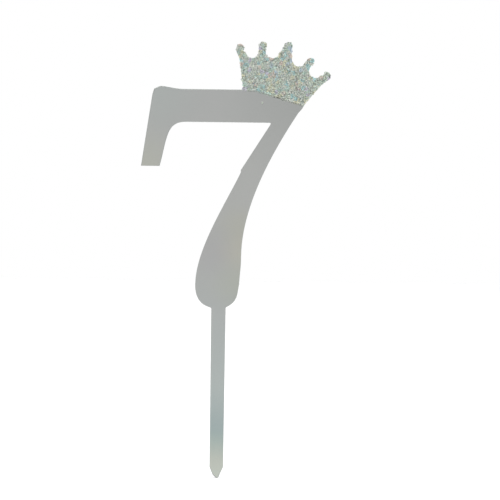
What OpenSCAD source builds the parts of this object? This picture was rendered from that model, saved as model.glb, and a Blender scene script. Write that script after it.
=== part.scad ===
// Number seven cake topper: a flat numeral 7 and its pick, laser-cut from one sheet of
// mirror acrylic, with a crown die-cut from glitter card stuck on the front of the bar.
//
// Frame: +Z up, +X to the right as seen from the front, and the front faces -Y.
// The origin is on the pick's centre line at the cake's surface, where the pick leaves
// the foot of the 7, half way through the sheet.

/* [Bar and leg] */
// Height of the bar's top edge above the cake line
bar_top = 74.5; // [73:0.1:76]
// Depth of the bar, from its top edge to its underside
bar_depth = 11.15; // [10:0.05:12]
// Right end of the bar's top edge, from the centre line
bar_reach = 31.6; // [30.5:0.1:33]
// Left corner of the leg's foot, from the centre line
leg_reach = 27.25; // [26:0.05:29]
// Width of the leg's foot
leg_foot_w = 6.3; // [5:0.1:7.5]
// Height of the leg's foot above the cake line
leg_foot_z = 48; // [46:0.5:50]
// How far the leg's outer edge leans in between its foot and the bar's top corner
leg_lean = 4.25; // [3.5:0.05:5]
// Rise of the flag at the bar's left end above the bar's top edge
flag_rise = 0.95; // [0.5:0.05:1.5]
// Run of the flag's slope down to the bar's top edge
flag_run = 8; // [6:0.5:10]

/* [Stem] */
// Sharp inner corner between the bar's underside and the stem, from the centre line
inner_corner_x = 17.35; // [16.5:0.05:18]
// Reach of the rounded foot to the left of the centre line
bulb_left = 8.1; // [7.5:0.1:9]
// Reach of the rounded foot to the right of the centre line
bulb_right = 7.55; // [7:0.05:8.5]
// Height of the foot's widest place on its left side
bulb_wide_z = 7.2; // [6:0.1:9]

/* [Pick] */
// Width of the pick where it leaves the foot
pick_w = 4.85; // [4:0.05:5.5]
// Width of the pick above its point
pick_end_w = 4.65; // [3.5:0.05:5]
// Length of the pick from the cake line to its tip
pick_len = 59.15; // [45:0.05:75]
// Length of the pick's point
point_len = 3.75; // [3:0.05:6]

/* [Mirror sheet] */
// Thickness of the mirror sheet, with its film and its backing
sheet_t = 1.5; // [1:0.1:3]
// Thickness given to the mirror film
film_t = 0.05; // [0.03:0.01:0.1]
// Thickness of the backing paint
paint_t = 0.1; // [0.05:0.01:0.2]

/* [Crown] */
// Middle of the crown's lower edge, from the centre line
crown_x = 17.95; // [15:0.05:20]
// Height of the middle of the crown's lower edge above the cake line
crown_z = 72.45; // [70:0.05:74]
// Tilt of the crown, clockwise from the front
crown_tilt = 16.5; // [10:0.5:20]
// Width of the crown's lower edge
crown_w = 21.8; // [20:0.1:24]
// Height of the crown from its lower edge to the top of its middle ball
crown_h = 19.2; // [19:0.05:22]
// Droop of the lower edge at its left corner
corner_droop = 1.1; // [0.1:0.05:1.2]
// Thickness of the crown's card
card_t = 0.35; // [0.2:0.05:0.6]
// Thickness of the adhesive coat that holds the glitter
binder_t = 0.1; // [0.05:0.01:0.2]
// Thickness of the glitter
glitter_t = 0.25; // [0.1:0.05:0.4]

/* [Glue dots] */
// Thickness of the glue dots between the crown and the number
dot_t = 0.3; // [0.2:0.05:0.6]
// Radius of the left dot, in the narrow end of the overlap
dot_left_r = 1.2; // [0.8:0.1:1.4]
// Radius of the right dot, in the wide end of the overlap
dot_right_r = 2; // [1:0.1:2.2]

/* [Hidden] */

$fn = 48;
curve_steps = 24;

// Planes across the thickness, from the back to the front
back_y = sheet_t / 2;
film_y = back_y - paint_t;
plate_y = film_y - film_t;
face_y = -sheet_t / 2;
card_y = face_y - dot_t;
binder_y = card_y - card_t;
glitter_y = binder_y - binder_t;
front_y = glitter_y - glitter_t;

// Levels and places in the number's outline
bar_under = bar_top - bar_depth;
corner_x = leg_lean - leg_reach;
crest_x = corner_x + 2.4;
crest_z = bar_top + flag_rise;
// Short step in the stem's left edge, where the laser's path closes on itself
step_z = 46;
step_h = 0.8;
step_x = 7.1;
// Cut-back of the inner corner between the bar and the stem
relief = [0.5, 0.35];
// Small outward bend in the stem's right edge, under the crown
bend = [26.7, 66.8];
bend_end = [28, 68.3];

// Places of the glue dots in the overlap of the crown and the bar
dot_left = [20.5, 73];
dot_right = [26.8, 72.2];

// Crown, measured from the middle of its lower edge
ball_r = [1.2, 1.25, 1.35, 1.25, 1.2];
ball_at = [
    [-15.75, 12.45], [-8.4, 15.45], [0, crown_h - ball_r[2]], [8.75, 14.95], [15.6, 12]
];
valley_r = [2.4, 2.5];
valley_at = [[11.5, 12.35], [4.75, 14.5]];
// Length of the drooping stretch of the lower edge
droop_run = 4;

// Points along a cubic curve from a to d, with b and c as its handles
function curve(a, b, c, d, steps = curve_steps) = [
    for (i = [0 : steps])
        let (t = i / steps, s = 1 - t)
        a * s * s * s + b * 3 * s * s * t + c * 3 * s * t * t + d * t * t * t
];

// The same points with left and right swapped, in reverse order
function mirrored(points) = [
    for (i = [len(points) - 1 : -1 : 0]) [-points[i][0], points[i][1]]
];

// Bar's top edge with the flag at its left end, from left to right
function bar_edge() = concat(
    [[corner_x - 0.6, bar_top - 1.7]],
    curve([corner_x, bar_top + 0.05], [corner_x + 0.8, bar_top + 0.25],
          [crest_x - 0.9, crest_z], [crest_x, crest_z], 8),
    curve([crest_x, crest_z], [crest_x + 0.3 * flag_run, crest_z - 0.15],
          [crest_x + 0.6 * flag_run, bar_top], [crest_x + flag_run, bar_top], 10)
);

// Stem's right edge, from the bar's top corner down to the pick
function stem_right() = concat(
    [[bar_reach, bar_top], bend_end],
    curve(bend, [17.7, 52.9], [bulb_right, 34.2], [bulb_right, 17]),
    curve([bulb_right, 16], [bulb_right, 13.3], [7.05, 10.1], [7, 7.5], 8),
    curve([7, 7.5], [6.3, 4.25], [6.85, 1.7], [2.65, -0.4])
);

// Pick, from its right shoulder round its point to its left shoulder
function pick_edge() = [
    [pick_w / 2, -0.7],
    [pick_end_w / 2 - 0.1, point_len - pick_len],
    [0.75, 0.5 - pick_len],
    [0.4, 0.05 - pick_len],
    [0.1, -pick_len],
    [-0.3, 0.15 - pick_len],
    [-1.3, 1.05 - pick_len],
    [-pick_end_w / 2 - 0.1, point_len - pick_len],
    [-pick_w / 2 - 0.05, -0.9]
];

// Stem's left edge, from the pick up to the inner corner under the bar
function stem_left() = concat(
    curve([-2.75, -0.55], [-5.25, 0.1], [-bulb_left, 1.7], [-bulb_left, bulb_wide_z]),
    curve([-bulb_left, bulb_wide_z], [-bulb_left, 19.4], [1.8, 34.8], [step_x, step_z]),
    [[step_x, step_z + step_h], [inner_corner_x, bar_under - relief[1]]],
    [[inner_corner_x - relief[0], bar_under]]
);

// Leg's inner edge and the round under the bar, from right to left, and then the foot
function leg_edge() = concat(
    curve([-12, bar_under], [-18.9, bar_under], [-18.4, leg_foot_z + 9.7],
          [leg_foot_w - leg_reach, leg_foot_z]),
    [[-leg_reach, leg_foot_z]]
);

module number_outline() {
    polygon(concat(bar_edge(), stem_right(), pick_edge(), stem_left(), leg_edge()));
}

// Right half of the crown's outline before the valleys are cut, from the bottom to the top
function crown_half() = [
    [crown_w / 2, 0],
    [14.75, 8.65],
    [16.9, 11.4],
    [14.75, 11.95],
    [14.05, 11.4],
    [9.15, 12.55],
    [9.6, 14.55],
    [7.75, 14.85],
    [7.2, 14.35],
    [2.3, 14.55],
    [1.3, crown_h - 2.3]
];

// Left end of the crown's lower edge, from the corner inwards
function crown_corner() = [[-crown_w / 2, -corner_droop], [droop_run - crown_w / 2, 0]];

module crown_outline() {
    difference() {
        union() {
            polygon(concat(crown_half(), mirrored(crown_half()), crown_corner()));
            for (i = [0 : len(ball_at) - 1])
                translate(ball_at[i])
                    circle(ball_r[i]);
        }
        for (side = [-1, 1], i = [0 : 1])
            translate([side * valley_at[i][0], valley_at[i][1]])
                circle(valley_r[i]);
    }
}

// A flat layer with the number's outline, from the plane y = front to the plane y = back
module number_layer(front, back) {
    translate([0, back, 0])
        rotate([90, 0, 0])
            linear_extrude(back - front)
                number_outline();
}

// A flat layer with the crown's outline, in its place on the number
module crown_layer(front, back) {
    translate([crown_x, back, crown_z])
        rotate([90, crown_tilt, 0])
            linear_extrude(back - front)
                crown_outline();
}

// A round adhesive dot on the number's face
module glue_dot(at, radius) {
    translate([at[0], face_y, at[1]])
        rotate([90, 0, 0])
            cylinder(r = radius, h = dot_t);
}

module backing_paint() {
    color("slategray")
        number_layer(film_y, back_y);
}

module mirror_film() {
    color("silver")
        number_layer(plate_y, film_y);
}

module number_plate() {
    color("darkgray")
        number_layer(face_y, plate_y);
}

module glue_dot_left() {
    color("ivory")
        glue_dot(dot_left, dot_left_r);
}

module glue_dot_right() {
    color("ivory")
        glue_dot(dot_right, dot_right_r);
}

module crown_card() {
    color("white")
        crown_layer(binder_y, card_y);
}

module glitter_binder() {
    color("gainsboro")
        crown_layer(glitter_y, binder_y);
}

module glitter_coat() {
    color("lightsteelblue")
        crown_layer(front_y, glitter_y);
}

backing_paint();
mirror_film();
number_plate();
glue_dot_left();
glue_dot_right();
crown_card();
glitter_binder();
glitter_coat();
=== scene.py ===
"""Looks for the number seven cake topper: a mirror-acrylic 7 with its pick, and a crown of glitter card.

Everything is in metres in the CAD frame: +Z is up, +X is right, and the front faces -Y.
"""
import math
from collections import namedtuple

import bmesh
import bpy
import numpy as np
from mathutils import Matrix, Vector


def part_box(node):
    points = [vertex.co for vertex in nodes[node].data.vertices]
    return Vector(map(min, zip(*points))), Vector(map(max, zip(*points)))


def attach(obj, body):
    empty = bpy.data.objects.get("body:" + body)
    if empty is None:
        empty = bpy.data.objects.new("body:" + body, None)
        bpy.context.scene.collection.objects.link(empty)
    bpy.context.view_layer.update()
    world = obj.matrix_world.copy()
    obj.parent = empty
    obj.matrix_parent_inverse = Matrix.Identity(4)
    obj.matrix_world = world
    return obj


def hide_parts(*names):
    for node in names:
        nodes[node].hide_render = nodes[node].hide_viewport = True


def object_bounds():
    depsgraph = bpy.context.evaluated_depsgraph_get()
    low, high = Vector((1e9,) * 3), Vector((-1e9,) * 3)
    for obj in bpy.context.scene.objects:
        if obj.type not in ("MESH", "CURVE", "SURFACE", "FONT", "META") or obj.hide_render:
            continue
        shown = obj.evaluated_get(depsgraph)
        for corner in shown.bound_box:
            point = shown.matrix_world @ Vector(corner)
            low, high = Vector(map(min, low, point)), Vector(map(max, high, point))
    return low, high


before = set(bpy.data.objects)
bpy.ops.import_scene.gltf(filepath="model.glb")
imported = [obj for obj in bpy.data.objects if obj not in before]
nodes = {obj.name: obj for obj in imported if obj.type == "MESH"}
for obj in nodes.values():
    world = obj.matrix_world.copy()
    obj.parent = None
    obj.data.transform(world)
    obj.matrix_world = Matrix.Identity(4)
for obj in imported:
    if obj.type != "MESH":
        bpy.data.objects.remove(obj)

cad_low, cad_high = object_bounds()
MM = 0.001
rng = np.random.default_rng(15)


# ---------------------------------------------------------------- shader helpers
def put(tree, socket, value):
    """Links value to the socket if it is another node's output, and otherwise sets it there."""
    if isinstance(value, bpy.types.NodeSocket):
        tree.links.new(value, socket)
    else:
        socket.default_value = value


def add(tree, kind, sockets=None, **settings):
    """A new shader node with its settings and its sockets' values."""
    made = tree.nodes.new("ShaderNode" + kind)
    for name, value in settings.items():
        setattr(made, name, value)
    for name, value in (sockets or {}).items():
        put(tree, made.inputs[name], value)
    return made


def ramp(tree, factor, stops):
    """A colour ramp's colour output. stops are (place, (r, g, b)) from low to high."""
    made = add(tree, "ValToRGB", {"Fac": factor})
    elements = made.color_ramp.elements
    while len(elements) < len(stops):
        elements.new(1.0)
    for element, (place, colour) in zip(elements, stops):
        element.position = place
        element.color = (*colour, 1.0)
    return made.outputs["Color"]


def math_node(tree, operation, *values):
    """A Math node's output."""
    made = add(tree, "Math", operation=operation)
    for socket, value in zip(made.inputs, values):
        put(tree, socket, value)
    return made.outputs[0]


def spread(tree, value, low, high, new_low=0.0, new_high=1.0, smooth=False):
    """value mapped from low..high to new_low..new_high."""
    made = add(tree, "MapRange", {"Value": value, "From Min": low, "From Max": high,
                                  "To Min": new_low, "To Max": new_high})
    if smooth:
        made.interpolation_type = "SMOOTHSTEP"
    return made.outputs[0]


def noise(tree, where, scale, detail=2.0, roughness=0.5):
    """A noise texture's value, mostly from 0.3 to 0.7."""
    return add(tree, "TexNoise", {"Vector": where, "Scale": scale, "Detail": detail,
                                  "Roughness": roughness}).outputs["Fac"]


def bump(tree, height, strength, distance):
    """The normal of a surface that height raises by up to distance."""
    return add(tree, "Bump", {"Height": height, "Strength": strength,
                              "Distance": distance}).outputs["Normal"]


def new_material(name, sockets):
    """A material with one Principled shader, whose plain values are sockets.

    Returns the material, its tree and the shader.
    """
    material = bpy.data.materials.new(name)
    material.use_nodes = True
    tree = material.node_tree
    shader = tree.nodes["Principled BSDF"]
    for socket, value in sockets.items():
        shader.inputs[socket].default_value = value
    return material, tree, shader


def object_place(tree):
    """The place on the object, in metres."""
    return add(tree, "TexCoord").outputs["Object"]


# ---------------------------------------------------------------- materials
def clear_acrylic():
    """Cast acrylic with the fine cross lines that a laser leaves on its cut edges."""
    material, tree, shader = new_material("clear_acrylic", {
        "Base Color": (0.985, 0.995, 0.99, 1), "Transmission Weight": 1.0, "IOR": 1.49})
    across = add(tree, "Mapping", {"Vector": object_place(tree), "Scale": (1, 0.04, 1)}).outputs[0]
    lines = noise(tree, across, 2600, 3.0, 0.6)
    facing = add(tree, "SeparateXYZ", {0: add(tree, "NewGeometry").outputs["True Normal"]}).outputs["Y"]
    on_edge = spread(tree, math_node(tree, "ABSOLUTE", facing), 0.5, 0.1)
    haze = spread(tree, lines, 0.35, 0.65, 0.16, 0.40)
    put(tree, shader.inputs["Roughness"], math_node(tree, "MULTIPLY", haze, on_edge))
    cut = math_node(tree, "MULTIPLY", lines, on_edge)
    put(tree, shader.inputs["Normal"], bump(tree, cut, 1.0, 0.04 * MM))
    return material


def mirror_film():
    """Silvered film, a little wavy, as on acrylic mirror."""
    material, tree, shader = new_material("mirror_film", {"Metallic": 1.0})
    place = object_place(tree)
    cloud = noise(tree, place, 60, 3.0)
    put(tree, shader.inputs["Base Color"], ramp(tree, cloud, [
        (0.3, (0.915, 0.925, 0.915)), (0.7, (0.94, 0.945, 0.935))]))
    put(tree, shader.inputs["Roughness"], spread(tree, noise(tree, place, 900, 4.0), 0.3, 0.7, 0.015, 0.04))
    put(tree, shader.inputs["Normal"], bump(tree, noise(tree, place, 38, 1.0), 0.35, 0.03 * MM))
    return material


def backing_paint():
    """Grey protective lacquer, sprayed on the back of the mirror sheet and lightly scuffed."""
    material, tree, shader = new_material("backing_paint", {"Specular IOR Level": 0.45})
    place = object_place(tree)
    cloud = noise(tree, place, 140, 5.0, 0.6)
    grain = noise(tree, place, 2600, 2.0)
    streak_place = add(tree, "Mapping", {"Vector": place, "Rotation": (0, 0.6, 0),
                                         "Scale": (60, 60, 1800)}).outputs[0]
    streak = noise(tree, streak_place, 1.0, 3.0, 0.7)
    base = ramp(tree, cloud, [(0.3, (0.125, 0.135, 0.145)), (0.7, (0.155, 0.165, 0.175))])
    scuff = spread(tree, streak, 0.64, 0.76, 0.0, 0.35)
    colour = add(tree, "MixRGB", {"Fac": scuff, "Color1": base, "Color2": (0.24, 0.25, 0.26, 1)})
    put(tree, shader.inputs["Base Color"], colour.outputs[0])
    put(tree, shader.inputs["Roughness"], spread(tree, cloud, 0.3, 0.7, 0.38, 0.5))
    put(tree, shader.inputs["Normal"], bump(tree, grain, 0.5, 0.02 * MM))
    return material


def crown_card():
    """Off-white card, with its fibres."""
    material, tree, shader = new_material("crown_card", {"Roughness": 0.9, "Specular IOR Level": 0.2})
    place = object_place(tree)
    fibre_place = add(tree, "Mapping", {"Vector": place, "Rotation": (0, 0.3, 0),
                                        "Scale": (900, 900, 2600)}).outputs[0]
    fibre = noise(tree, fibre_place, 1.0, 4.0, 0.65)
    cloud = noise(tree, place, 300, 3.0)
    fibres = math_node(tree, "MULTIPLY", fibre, 0.6)
    both = math_node(tree, "ADD", fibres, math_node(tree, "MULTIPLY", cloud, 0.4))
    put(tree, shader.inputs["Base Color"], ramp(tree, both, [
        (0.35, (0.62, 0.61, 0.58)), (0.5, (0.71, 0.70, 0.67)), (0.65, (0.76, 0.75, 0.72))]))
    put(tree, shader.inputs["Normal"], bump(tree, fibre, 0.6, 0.03 * MM))
    return material


def glitter_binder():
    """Clear adhesive full of glitter dust, which shows only at the crown's cut edge."""
    material, tree, shader = new_material("glitter_binder", {"Metallic": 0.3, "Roughness": 0.4})
    dust = noise(tree, object_place(tree), 3500, 2.0)
    put(tree, shader.inputs["Base Color"], ramp(tree, dust, [
        (0.35, (0.30, 0.34, 0.32)), (0.55, (0.52, 0.58, 0.55)), (0.7, (0.78, 0.82, 0.80))]))
    put(tree, shader.inputs["Normal"], bump(tree, dust, 0.5, 0.04 * MM))
    return material


def glitter_bed_painted_shade():
    """Closely packed fine glitter under the loose flakes: each cell is a flake with its own tint and tilt,
    and the tints are kept dark as painted shade in the gaps between the loose flakes.
    """
    material, tree, shader = new_material("glitter_bed_painted_shade", {"Metallic": 1.0, "Roughness": 0.3})
    place = object_place(tree)
    cells = add(tree, "TexVoronoi", {"Vector": place, "Scale": 2600.0}).outputs["Color"]
    parts = add(tree, "SeparateXYZ", {0: cells})
    # painted shade: the low, dark stops make the bed read as shaded gaps between the loose flakes; the
    # coloured stops are the glitter's own tints
    put(tree, shader.inputs["Base Color"], ramp(tree, parts.outputs["X"], [
        (0.0, (0.16, 0.18, 0.17)), (0.3, (0.30, 0.34, 0.31)), (0.62, (0.42, 0.46, 0.42)),
        (0.8, (0.34, 0.46, 0.47)), (0.9, (0.48, 0.45, 0.34)), (1.0, (0.42, 0.40, 0.50))]))
    centred = add(tree, "VectorMath", {0: cells, 1: (0.5, 0.5, 0.5)}, operation="SUBTRACT").outputs[0]
    tilt = add(tree, "VectorMath", {0: centred, "Scale": 0.6}, operation="SCALE").outputs[0]
    normal = add(tree, "NewGeometry").outputs["Normal"]
    tilted = add(tree, "VectorMath", {0: normal, 1: tilt}, operation="ADD").outputs[0]
    put(tree, shader.inputs["Normal"], add(tree, "VectorMath", {0: tilted}, operation="NORMALIZE").outputs[0])
    return material


def glue():
    """Clear pressure-sensitive adhesive, a little yellow."""
    material, tree, shader = new_material("glue", {"Transmission Weight": 0.5, "IOR": 1.45, "Roughness": 0.3})
    cloud = noise(tree, object_place(tree), 900, 3.0)
    put(tree, shader.inputs["Base Color"], ramp(tree, cloud, [
        (0.3, (0.80, 0.78, 0.68)), (0.7, (0.88, 0.87, 0.80))]))
    put(tree, shader.inputs["Normal"], bump(tree, cloud, 0.3, 0.05 * MM))
    return material


FLAKE_METAL = 0.60
FLAKE_ROUGHNESS = 0.28
FLAKE_PAINTED_SHADE = 0.25           # the tint of the flakes darkened as painted shade of the gaps between flakes, as a share of the dull one


def flake_material(name, dull, bright):
    """Metallised film.

    Each flake has its own tint between dull and bright, and one in five is darker, as painted shade of the
    gaps between flakes.
    """
    material, tree, shader = new_material(name, {"Metallic": FLAKE_METAL, "Roughness": FLAKE_ROUGHNESS})
    own = add(tree, "NewGeometry").outputs["Random Per Island"]
    # painted shade: the darkest fifth of the flakes stand in for the shaded gaps between them
    dark = tuple(FLAKE_PAINTED_SHADE * value for value in dull)
    put(tree, shader.inputs["Base Color"], ramp(tree, own, [(0.0, dark), (0.20, dull), (0.90, bright)]))
    return material


def dress(node, material):
    """Gives a CAD node's every slot the material."""
    for slot in nodes[node].material_slots:
        slot.material = material


# ---------------------------------------------------------------- camera
VIEW_WIDTH = 172 * MM       # width of the picture in the object's plane
AIM_RIGHT = 5.47 * MM       # the camera's aim, from the middle of the object's box
AIM_UP = 3.49 * MM
LENS = 100.0
SENSOR = 36.0
ROLL = math.radians(0.7)    # the object leans a little in the picture
middle = (cad_low + cad_high) / 2


def make_camera():
    """A long lens straight in front of the object, turned by ROLL about its own axis."""
    data = bpy.data.cameras.new("camera")
    data.lens = LENS
    data.sensor_width = SENSOR
    data.clip_start = 0.01
    data.clip_end = 50
    camera = bpy.data.objects.new("camera", data)
    distance = VIEW_WIDTH * LENS / data.sensor_width
    face = nodes["number_plate"].bound_box[0][1]
    place = Vector((middle.x + AIM_RIGHT, face - distance, middle.z + AIM_UP))
    facing = Matrix.Rotation(math.pi / 2, 4, "X") @ Matrix.Rotation(ROLL, 4, "Z")
    camera.matrix_world = Matrix.Translation(place) @ facing
    bpy.context.scene.collection.objects.link(camera)
    bpy.context.scene.camera = camera


make_camera()

# ---------------------------------------------------------------- studio
# The room that the mirror sees straight behind the camera, by the height of the direction it is seen in:
# a grey wall, with a table's cool dark edge and its lighter top at the bottom.
ROOM = [
    (-0.50, (0.80, 0.82, 0.80)),
    (-0.165, (0.58, 0.61, 0.56)),
    (-0.150, (0.55, 0.565, 0.515)),
    (-0.136, (0.41, 0.48, 0.46)),
    (-0.128, (0.38, 0.445, 0.45)),
    (-0.100, (0.46, 0.495, 0.49)),
    (-0.040, (0.45, 0.46, 0.46)),
    (0.000, (0.45, 0.45, 0.44)),
    (0.120, (0.44, 0.44, 0.44)),
    (0.300, (0.55, 0.56, 0.56)),
    (0.500, (0.80, 0.81, 0.80)),
]
ROOM_HALF = 0.5             # ROOM's heights run from -ROOM_HALF to ROOM_HALF

# Faint tints in that room: the direction's x and z, the tint's radius, and what it multiplies the room by
TINTS = [
    (-0.008, 0.018, 0.019, (1.01, 1.00, 0.935)), (-0.008, -0.001, 0.019, (1.05, 1.03, 0.95)),
    (-0.009, -0.025, 0.025, (0.99, 1.00, 0.93)), (-0.028, -0.002, 0.028, (0.97, 0.955, 0.985)),
    (-0.078, 0.058, 0.038, (1.06, 1.06, 0.98)), (-0.070, 0.115, 0.040, (0.97, 1.01, 1.00)),
    (0.045, 0.115, 0.080, (0.88, 0.89, 0.88)),
]


def room_colour(tree, direction, height):
    """The room's colour in a direction: ROOM by its height, with TINTS laid over it."""
    colour = ramp(tree, spread(tree, height, -ROOM_HALF, ROOM_HALF),
                  [(0.5 + z / (2 * ROOM_HALF), colour) for z, colour in ROOM])
    for x, z, radius, tint in TINTS:
        centre = Vector((x, -1, z)).normalized()
        away = add(tree, "VectorMath", {0: direction, 1: centre}, operation="DISTANCE").outputs["Value"]
        share = spread(tree, away, radius, 0.0, smooth=True)
        colour = add(tree, "MixRGB", {"Fac": share, "Color1": colour, "Color2": (*tint, 1)},
                     blend_type="MULTIPLY").outputs[0]
    return colour


def mixed(tree, share, first, second):
    """first where share is 0 and second where it is 1."""
    return add(tree, "MixRGB", {"Fac": share, "Color1": first, "Color2": second}).outputs[0]


def make_world():
    """The light, and what reflects in the object.

    A soft studio lights the object, its mirror and clear edges show a grey room, and the camera sees white.
    """
    world = bpy.data.worlds.new("studio")
    world.use_nodes = True
    tree = world.node_tree
    tree.nodes.clear()
    direction = add(tree, "TexCoord").outputs["Generated"]
    parts = add(tree, "SeparateXYZ", {0: direction})
    side, depth, height = parts.outputs["X"], parts.outputs["Y"], parts.outputs["Z"]
    path = add(tree, "LightPath")

    cloud = noise(tree, direction, 2.6, 2.0)
    walls = ramp(tree, cloud, [
        (0.30, (0.36, 0.38, 0.38)), (0.5, (0.50, 0.52, 0.51)), (0.68, (0.74, 0.73, 0.71))])
    at_side = spread(tree, math_node(tree, "ABSOLUTE", side), 0.62, 0.92, smooth=True)
    walls = mixed(tree, at_side, walls, (0.20, 0.21, 0.22, 1))
    behind = spread(tree, depth, 0.60, 0.90, smooth=True)
    walls = mixed(tree, behind, walls, (0.42, 0.43, 0.42, 1))
    in_room = spread(tree, depth, -0.84, -0.98, smooth=True)
    reflected = mixed(tree, in_room, walls, room_colour(tree, direction, height))

    overhead = spread(tree, height, 0.45, 0.85, smooth=True)
    below = spread(tree, height, 0.05, -0.15, smooth=True)
    soft = mixed(tree, overhead, (0.8, 0.8, 0.8, 1), (1.55, 1.55, 1.55, 1))
    soft = mixed(tree, below, soft, (2.2, 2.2, 2.2, 1))
    after_diffuse = math_node(tree, "GREATER_THAN", path.outputs["Diffuse Depth"], 0.5)
    lit = mixed(tree, after_diffuse, reflected, soft)
    shown = mixed(tree, path.outputs["Is Camera Ray"], lit, (1, 1, 1, 1))
    background = add(tree, "Background", {"Color": shown, "Strength": 1.0})
    output = add(tree, "OutputWorld")
    tree.links.new(background.outputs[0], output.inputs["Surface"])
    bpy.context.scene.world = world


FLOOR_HALF = 3.0
FLOOR_GAP = 0.05 * MM       # from the pick's tip down to the floor


def make_floor():
    """A plain white floor under the pick's tip. It doesn't show in the mirror, nor through the acrylic."""
    mesh = bpy.data.meshes.new("floor")
    z = cad_low.z - FLOOR_GAP
    corners = [(-1, -1), (1, -1), (1, 1), (-1, 1)]
    mesh.from_pydata([(x * FLOOR_HALF, y * FLOOR_HALF, z) for x, y in corners], [], [(0, 1, 2, 3)])
    floor = bpy.data.objects.new("floor", mesh)
    bpy.context.scene.collection.objects.link(floor)
    material, tree, shader = new_material("floor", {"Roughness": 0.9, "Specular IOR Level": 0.1})
    shade = noise(tree, object_place(tree), 3.0, 2.0)
    put(tree, shader.inputs["Base Color"], ramp(tree, shade, [
        (0.3, (0.90, 0.90, 0.90)), (0.7, (0.92, 0.92, 0.92))]))
    mesh.materials.append(material)
    floor.visible_glossy = False
    floor.visible_transmission = False


def make_softbox(name, place, size, power):
    """A square lamp at that place, turned to the object. It doesn't show through the clear acrylic."""
    data = bpy.data.lights.new(name, "AREA")
    data.shape = "SQUARE"
    data.size = size
    data.energy = power
    light = bpy.data.objects.new(name, data)
    light.location = place
    light.rotation_euler = (middle - Vector(place)).to_track_quat("-Z", "Y").to_euler()
    light.visible_transmission = False
    bpy.context.scene.collection.objects.link(light)


make_world()
make_floor()
make_softbox("key", (-0.6, -0.5, 0.9), 0.8, 4.0)
make_softbox("fill", (0.8, -0.4, 0.5), 0.8, 2.0)
bpy.context.scene.view_settings.view_transform = "Standard"


# ---------------------------------------------------------------- outlines read from the CAD nodes
FLAT_WITHIN = 1e-7          # a corner this near to the front face's plane lies on it
SAME_DIGITS = 8             # two corners that agree to so many decimal places are one


def front_faces(node):
    """The node's front face as triangles, an array of (triangle, corner, x and z), and its y."""
    mesh = nodes[node].data
    front = nodes[node].bound_box[0][1]
    triangles = []
    for polygon in mesh.polygons:
        corners = [mesh.vertices[i].co for i in polygon.vertices]
        if all(abs(c.y - front) < FLAT_WITHIN for c in corners):
            triangles.append([(c.x, c.z) for c in corners])
    return np.array(triangles), front


def outline(node):
    """The edge of the node's front face, in order, as x and z."""
    triangles, _ = front_faces(node)
    outer = set()
    for triangle in triangles:
        keys = [tuple(np.round(corner, SAME_DIGITS)) for corner in triangle]
        for a, b in zip(keys, keys[1:] + keys[:1]):
            if (b, a) in outer:
                outer.remove((b, a))
            else:
                outer.add((a, b))
    following = dict(outer)
    start = next(iter(following))
    loop = [start]
    while following[loop[-1]] != start:
        loop.append(following[loop[-1]])
    return np.array(loop)


def turning(loop):
    """1 if the loop runs anticlockwise, and otherwise -1."""
    after = np.roll(loop, -1, 0)
    area = np.sum(loop[:, 0] * after[:, 1] - after[:, 0] * loop[:, 1])
    return 1.0 if area > 0 else -1.0


def inset(loop, width):
    """The loop moved inwards by width, mitred at its corners."""
    before = np.roll(loop, 1, 0)
    after = np.roll(loop, -1, 0)
    turn = turning(loop)

    def inward(edge):
        """The direction into the loop, square to each edge."""
        edge = edge / np.linalg.norm(edge, axis=1)[:, None]
        return turn * np.stack([-edge[:, 1], edge[:, 0]], 1)

    a, b = inward(loop - before), inward(after - loop)
    return loop + width * (a + b) / (1 + np.sum(a * b, 1))[:, None]


# ---------------------------------------------------------------- flat layers
SHORTEST = 0.02 * MM        # shorter steps of an outline are dropped
EASE = 0.3                  # where a rounded corner's middle ring lies, as a share of the rounding
SHARP = math.radians(25)    # side faces that meet at more than this keep a sharp edge between them


def make_layer(name, node, material, front_round=0.0, back_round=0.0, grow=0.0):
    """A flat layer in place of the CAD node, with its front or back corners rounded off.

    grow is added to its thickness at the back.
    """
    loop = outline(node)
    loop = loop[np.linalg.norm(loop - np.roll(loop, 1, 0), axis=1) > SHORTEST]
    low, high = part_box(node)
    front, back = low.y, high.y + grow
    # Each ring of corners: how far in from the outline it lies, and its y
    rings = [(0.0, front + front_round), (0.0, back - back_round)]
    if front_round:
        rings = [(front_round, front), (EASE * front_round, front + EASE * front_round)] + rings
    if back_round:
        rings += [(EASE * back_round, back - EASE * back_round), (back_round, back)]
    bm = bmesh.new()
    made = [[bm.verts.new((x, y, z)) for x, z in inset(loop, width)] for width, y in rings]
    bm.faces.new(made[0])
    bm.faces.new(made[-1][::-1])
    for near, far in zip(made, made[1:]):
        for i in range(len(loop)):
            j = (i + 1) % len(loop)
            bm.faces.new((near[i], far[i], far[j], near[j]))
    bmesh.ops.recalc_face_normals(bm, faces=bm.faces)
    mesh = bpy.data.meshes.new(name)
    bm.to_mesh(mesh)
    bm.free()
    mesh.set_sharp_from_angle(angle=SHARP)
    for polygon in mesh.polygons:
        polygon.use_smooth = len(polygon.vertices) == 4
    layer = bpy.data.objects.new(name, mesh)
    bpy.context.scene.collection.objects.link(layer)
    mesh.materials.append(material)
    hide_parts(node)
    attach(layer, "root")


# The acrylic runs a hair into the film, so that no two faces coincide
make_layer("acrylic_sheet", "number_plate", clear_acrylic(),
           front_round=0.03 * MM, grow=0.005 * MM)
dress("mirror_film", mirror_film())
make_layer("lacquer_coat", "backing_paint", backing_paint(), back_round=0.04 * MM)

# ---------------------------------------------------------------- the crown
make_layer("glitter_card", "crown_card", crown_card(), back_round=0.05 * MM)
dress("glitter_binder", glitter_binder())
dress("glitter_coat", glitter_bed_painted_shade())
for dot in ("glue_dot_left", "glue_dot_right"):
    dress(dot, glue())

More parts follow.
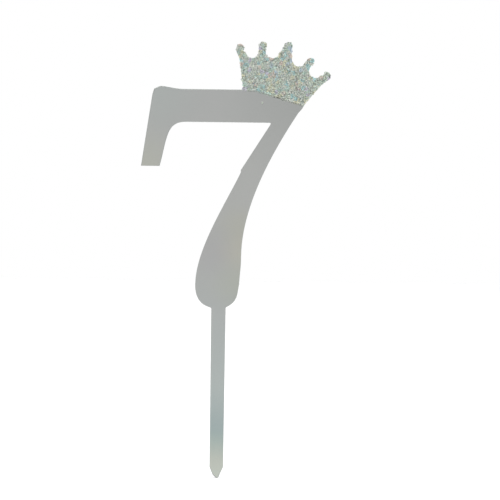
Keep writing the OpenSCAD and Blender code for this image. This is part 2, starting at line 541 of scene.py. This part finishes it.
# Each kind of flake: its share of all, and its dull and bright tints
FLAKES = {
    "silver": (0.33, (0.51, 0.57, 0.50), (0.98, 1.00, 0.93)),
    "sage": (0.20, (0.50, 0.59, 0.49), (0.90, 1.00, 0.87)),
    "mint": (0.09, (0.49, 0.65, 0.57), (0.82, 1.00, 0.90)),
    "aqua": (0.10, (0.38, 0.62, 0.63), (0.69, 0.98, 0.98)),
    "sky": (0.04, (0.48, 0.58, 0.70), (0.79, 0.90, 1.00)),
    "lilac": (0.05, (0.57, 0.54, 0.67), (0.89, 0.86, 1.00)),
    "champagne": (0.14, (0.62, 0.62, 0.46), (1.00, 0.99, 0.75)),
    "rose": (0.05, (0.67, 0.54, 0.48), (1.00, 0.87, 0.77)),
}
FLAKE_T = 0.03 * MM         # a flake's thickness
FLAKE_SIDES = 6
FLAKE_SQUEEZE = (0.8, 1.0)  # the least and the most that a flake's width is of its length
LEAN = 0.4                  # a tilted flake comes forward by this share of how far its edge goes back
TILT_MOST = 40              # degrees
PATCH = 0.95 * MM           # how far apart the patches of like flakes are
IN_PATCH = 0.78             # share of the flakes that take their patch's kind
TRIES = 6                   # random points tried for each square whose side is the gap between flakes

# A layer of flakes: the gap between them, their least and most radius, how much their tilt varies, how far in
# front of the glitter's face they lie, and for some how far out past its edge. Less than 0 is behind the face
# or inside the edge. The tilt is in degrees and the rest in millimetres.
Layer = namedtuple("Layer", "gap radius tilt lift out", defaults=[None])
FLAT = Layer(0.22, (0.12, 0.16), 6, (0.0, 0.04))
LOOSE = Layer(0.34, (0.12, 0.19), 8, (0.05, 0.12))
RIM = Layer(0.15, (0.13, 0.21), 9, (-0.14, 0.06))
LARGE = Layer(2.2, (0.20, 0.30), 10, (-0.10, 0.02), (-0.12, 0.10))
HANGING = Layer(0.30, (0.12, 0.20), 12, (-0.55, -0.05), (-0.12, 0.08))

# The glitter's ragged edge: the least and the most that it stands out past the card, and at how many places
# round the crown that is set anew
SWELL = (-0.20 * MM, 0.62 * MM)
SWELL_KNOTS = 130
UNDERSIDE = -0.5            # an edge that faces further down than this is the crown's straight lower edge
SWELL_UNDERSIDE = 0.10 * MM  # the most that the glitter stands out there
# Tufts of glitter on that edge: across and up, how far each reaches along the edge, and how far out
TUFTS = [
    (13.0 * MM, 88.7 * MM, 0.9 * MM, 0.45 * MM),
    (6.4 * MM, 82.0 * MM, 2.0 * MM, 0.35 * MM),
    (5.6 * MM, 87.6 * MM, 1.0 * MM, 0.45 * MM),
    (7.2 * MM, 77.4 * MM, 0.9 * MM, 0.35 * MM),
    (11.7 * MM, 85.9 * MM, 1.0 * MM, 0.35 * MM),
]


def scattered(triangles, gap):
    """Random points on the triangles, no two closer than gap."""
    a, b, c = triangles[:, 0], triangles[:, 1], triangles[:, 2]
    area = 0.5 * np.abs((b - a)[:, 0] * (c - a)[:, 1] - (b - a)[:, 1] * (c - a)[:, 0])
    tries = int(TRIES * area.sum() / gap ** 2)
    pick = rng.choice(len(triangles), tries, p=area / area.sum())
    u, v = rng.random((2, tries))
    over = u + v > 1
    u[over], v[over] = 1 - u[over], 1 - v[over]
    points = a[pick] + u[:, None] * (b - a)[pick] + v[:, None] * (c - a)[pick]
    kept, grid = [], {}
    for point in points:
        cell = (int(point[0] // gap), int(point[1] // gap))
        near = [q for i in (-1, 0, 1) for j in (-1, 0, 1) for q in grid.get((cell[0] + i, cell[1] + j), [])]
        if all((q[0] - point[0]) ** 2 + (q[1] - point[1]) ** 2 > gap * gap for q in near):
            grid.setdefault(cell, []).append(point)
            kept.append(point)
    return np.array(kept)


def along(loop, gap):
    """Points about gap apart along a closed loop.

    Returns the points, the outward direction at each, and how far round the loop each is, from 0 to 1.
    """
    after = np.roll(loop, -1, 0)
    length = np.linalg.norm(after - loop, axis=1)
    total = np.concatenate([[0], np.cumsum(length)])
    places = np.arange(0, total[-1], gap) + rng.uniform(0, gap, int(np.ceil(total[-1] / gap)))
    places = places[places < total[-1]]
    edge = np.searchsorted(total, places, side="right") - 1
    share = (places - total[edge]) / length[edge]
    points = loop[edge] + share[:, None] * (after - loop)[edge]
    direction = (after - loop)[edge] / length[edge][:, None]
    outward = turning(loop) * np.stack([direction[:, 1], -direction[:, 0]], 1)
    return points, outward, places / total[-1]


def swell_at(points, outward, around):
    """How far the glitter stands out at each point of the crown's edge: mostly little, in places more."""
    knots = np.arange(SWELL_KNOTS) / SWELL_KNOTS
    low, high = SWELL
    swell = np.interp(around, knots, low + (high - low) * rng.random(SWELL_KNOTS) ** 2, period=1.0)
    for x, z, reach, more in TUFTS:
        away = np.linalg.norm(points - (x, z), axis=1)
        swell = swell + more * np.clip(1 - (away / reach) ** 2, 0, 1)
    return np.where(outward[:, 1] < UNDERSIDE, np.minimum(swell, SWELL_UNDERSIDE), swell)


def flake_in(layer, x, z):
    """A flake of that layer at x and z, with its radius, tilt and lift drawn at random."""
    return x, z, rng.uniform(*layer.radius), abs(rng.normal(0, layer.tilt)), rng.uniform(*layer.lift)


def rim_flakes(edge):
    """Flakes along the crown's edge, standing out as far as the glitter swells there."""
    points, outward, around = along(edge, RIM.gap * MM)
    spots = []
    for point, out, swell in zip(points, outward, swell_at(points, outward, around)):
        radius = rng.uniform(*RIM.radius)
        reach = swell * math.sqrt(rng.random()) if swell > 0 else swell
        x, z = point + out * (reach - radius * MM)
        spots.append((x, z, radius, abs(rng.normal(0, RIM.tilt)), rng.uniform(*RIM.lift)))
    return spots


def edge_flakes(edge, layer, highest=math.inf):
    """Flakes of that layer along the crown's edge, only where the outward direction's z is under highest."""
    points, outward, _ = along(edge, layer.gap * MM)
    spots = []
    for point, out in zip(points, outward):
        if out[1] < highest:
            x, z = point + out * rng.uniform(*layer.out) * MM
            spots.append(flake_in(layer, x, z))
    return spots


def flake_spots():
    """Every flake's x, y, z, radius and tilt.

    One layer lies flat, and a sparser one is tilted over it. One goes round the rim, with some larger flakes
    on it, and the last hangs over the crown's lower edge.
    """
    triangles, front = front_faces("glitter_coat")
    edge = outline("glitter_coat")
    spots = []
    for layer in (FLAT, LOOSE):
        spots += [flake_in(layer, x, z) for x, z in scattered(triangles, layer.gap * MM)]
    spots += rim_flakes(edge)
    spots += edge_flakes(edge, LARGE)
    spots += edge_flakes(edge, HANGING, UNDERSIDE)
    return [(x, front - lift * MM, z, radius * MM, math.radians(min(tilt, TILT_MOST)))
            for x, z, radius, tilt, lift in spots]


def flake_corners(place, radius, tilt):
    """The two rims of one flake, a thin hexagonal chip: its corners on the front and then on the back."""
    spin, lean = rng.uniform(0, 2 * math.pi, 2)
    axis = Vector((math.cos(lean), 0, math.sin(lean)))
    turn = Matrix.Rotation(tilt, 3, axis) @ Matrix.Rotation(spin, 3, "Y")
    squeeze = rng.uniform(*FLAKE_SQUEEZE)
    corners = []
    for y in (-FLAKE_T / 2, FLAKE_T / 2):
        for i in range(FLAKE_SIDES):
            angle = 2 * math.pi * i / FLAKE_SIDES
            corner = Vector((radius * math.cos(angle), y, squeeze * radius * math.sin(angle)))
            corners.append(Vector(place) + turn @ corner)
    return corners


def add_flake(verts, faces, place, radius, tilt):
    """Adds one flake's corners to verts, and its two hexagons and its sides to faces."""
    first = len(verts)
    verts.extend(flake_corners(place, radius, tilt))
    faces.append([first + i for i in range(FLAKE_SIDES)])
    faces.append([first + FLAKE_SIDES + i for i in reversed(range(FLAKE_SIDES))])
    for i in range(FLAKE_SIDES):
        j = (i + 1) % FLAKE_SIDES
        faces.append([first + i, first + FLAKE_SIDES + i, first + FLAKE_SIDES + j, first + j])


def add_glitter(name, verts, faces, material):
    """A piece of glitter with these corners and faces."""
    mesh = bpy.data.meshes.new(name)
    mesh.from_pydata(verts, [], faces)
    mesh.materials.append(material)
    bm = bmesh.new()
    bm.from_mesh(mesh)
    bmesh.ops.recalc_face_normals(bm, faces=bm.faces)
    bm.to_mesh(mesh)
    bm.free()
    piece = bpy.data.objects.new(name, mesh)
    bpy.context.scene.collection.objects.link(piece)
    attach(piece, "root")


def make_flakes():
    """Loose flakes over the whole crown, in one piece for each kind. Like flakes lie in small patches."""
    names = list(FLAKES)
    shares = np.array([FLAKES[name][0] for name in names])
    shares = shares / shares.sum()
    triangles, _ = front_faces("glitter_coat")
    patches = scattered(triangles, PATCH)
    patch_kinds = rng.choice(len(names), len(patches), p=shares)
    built = {name: ([], []) for name in names}
    for x, y, z, radius, tilt in flake_spots():
        nearest = np.argmin(np.sum((patches - (x, z)) ** 2, axis=1))
        kind = patch_kinds[nearest] if rng.random() < IN_PATCH else rng.choice(len(names), p=shares)
        verts, faces = built[names[kind]]
        add_flake(verts, faces, (x, y - LEAN * radius * math.sin(tilt), z), radius, tilt)
    for name, (verts, faces) in built.items():
        _, dull, bright = FLAKES[name]
        add_glitter("flakes_" + name, verts, faces, flake_material("flake_" + name, dull, bright))


STRAY_AT = (14.25 * MM, 70.15 * MM)  # across and up
STRAY_R = 0.36 * MM          # radius
STRAY_TILT = math.radians(9)
STRAY_CLEAR = 0.6 * FLAKE_T  # from the acrylic's face to the nearest point of the flake's middle plane
STRAY_TINTS = (0.56, 0.60, 0.53), (0.59, 0.63, 0.56)


def make_stray_flake():
    """One flake that has come off the crown and sticks to the bar."""
    face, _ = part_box("number_plate")
    verts, faces = [], []
    place = (STRAY_AT[0], face.y - STRAY_R * math.sin(STRAY_TILT) - STRAY_CLEAR, STRAY_AT[1])
    add_flake(verts, faces, place, STRAY_R, STRAY_TILT)
    add_glitter("stray_flake", verts, faces, flake_material("stray_flake", *STRAY_TINTS))


make_flakes()
make_stray_flake()
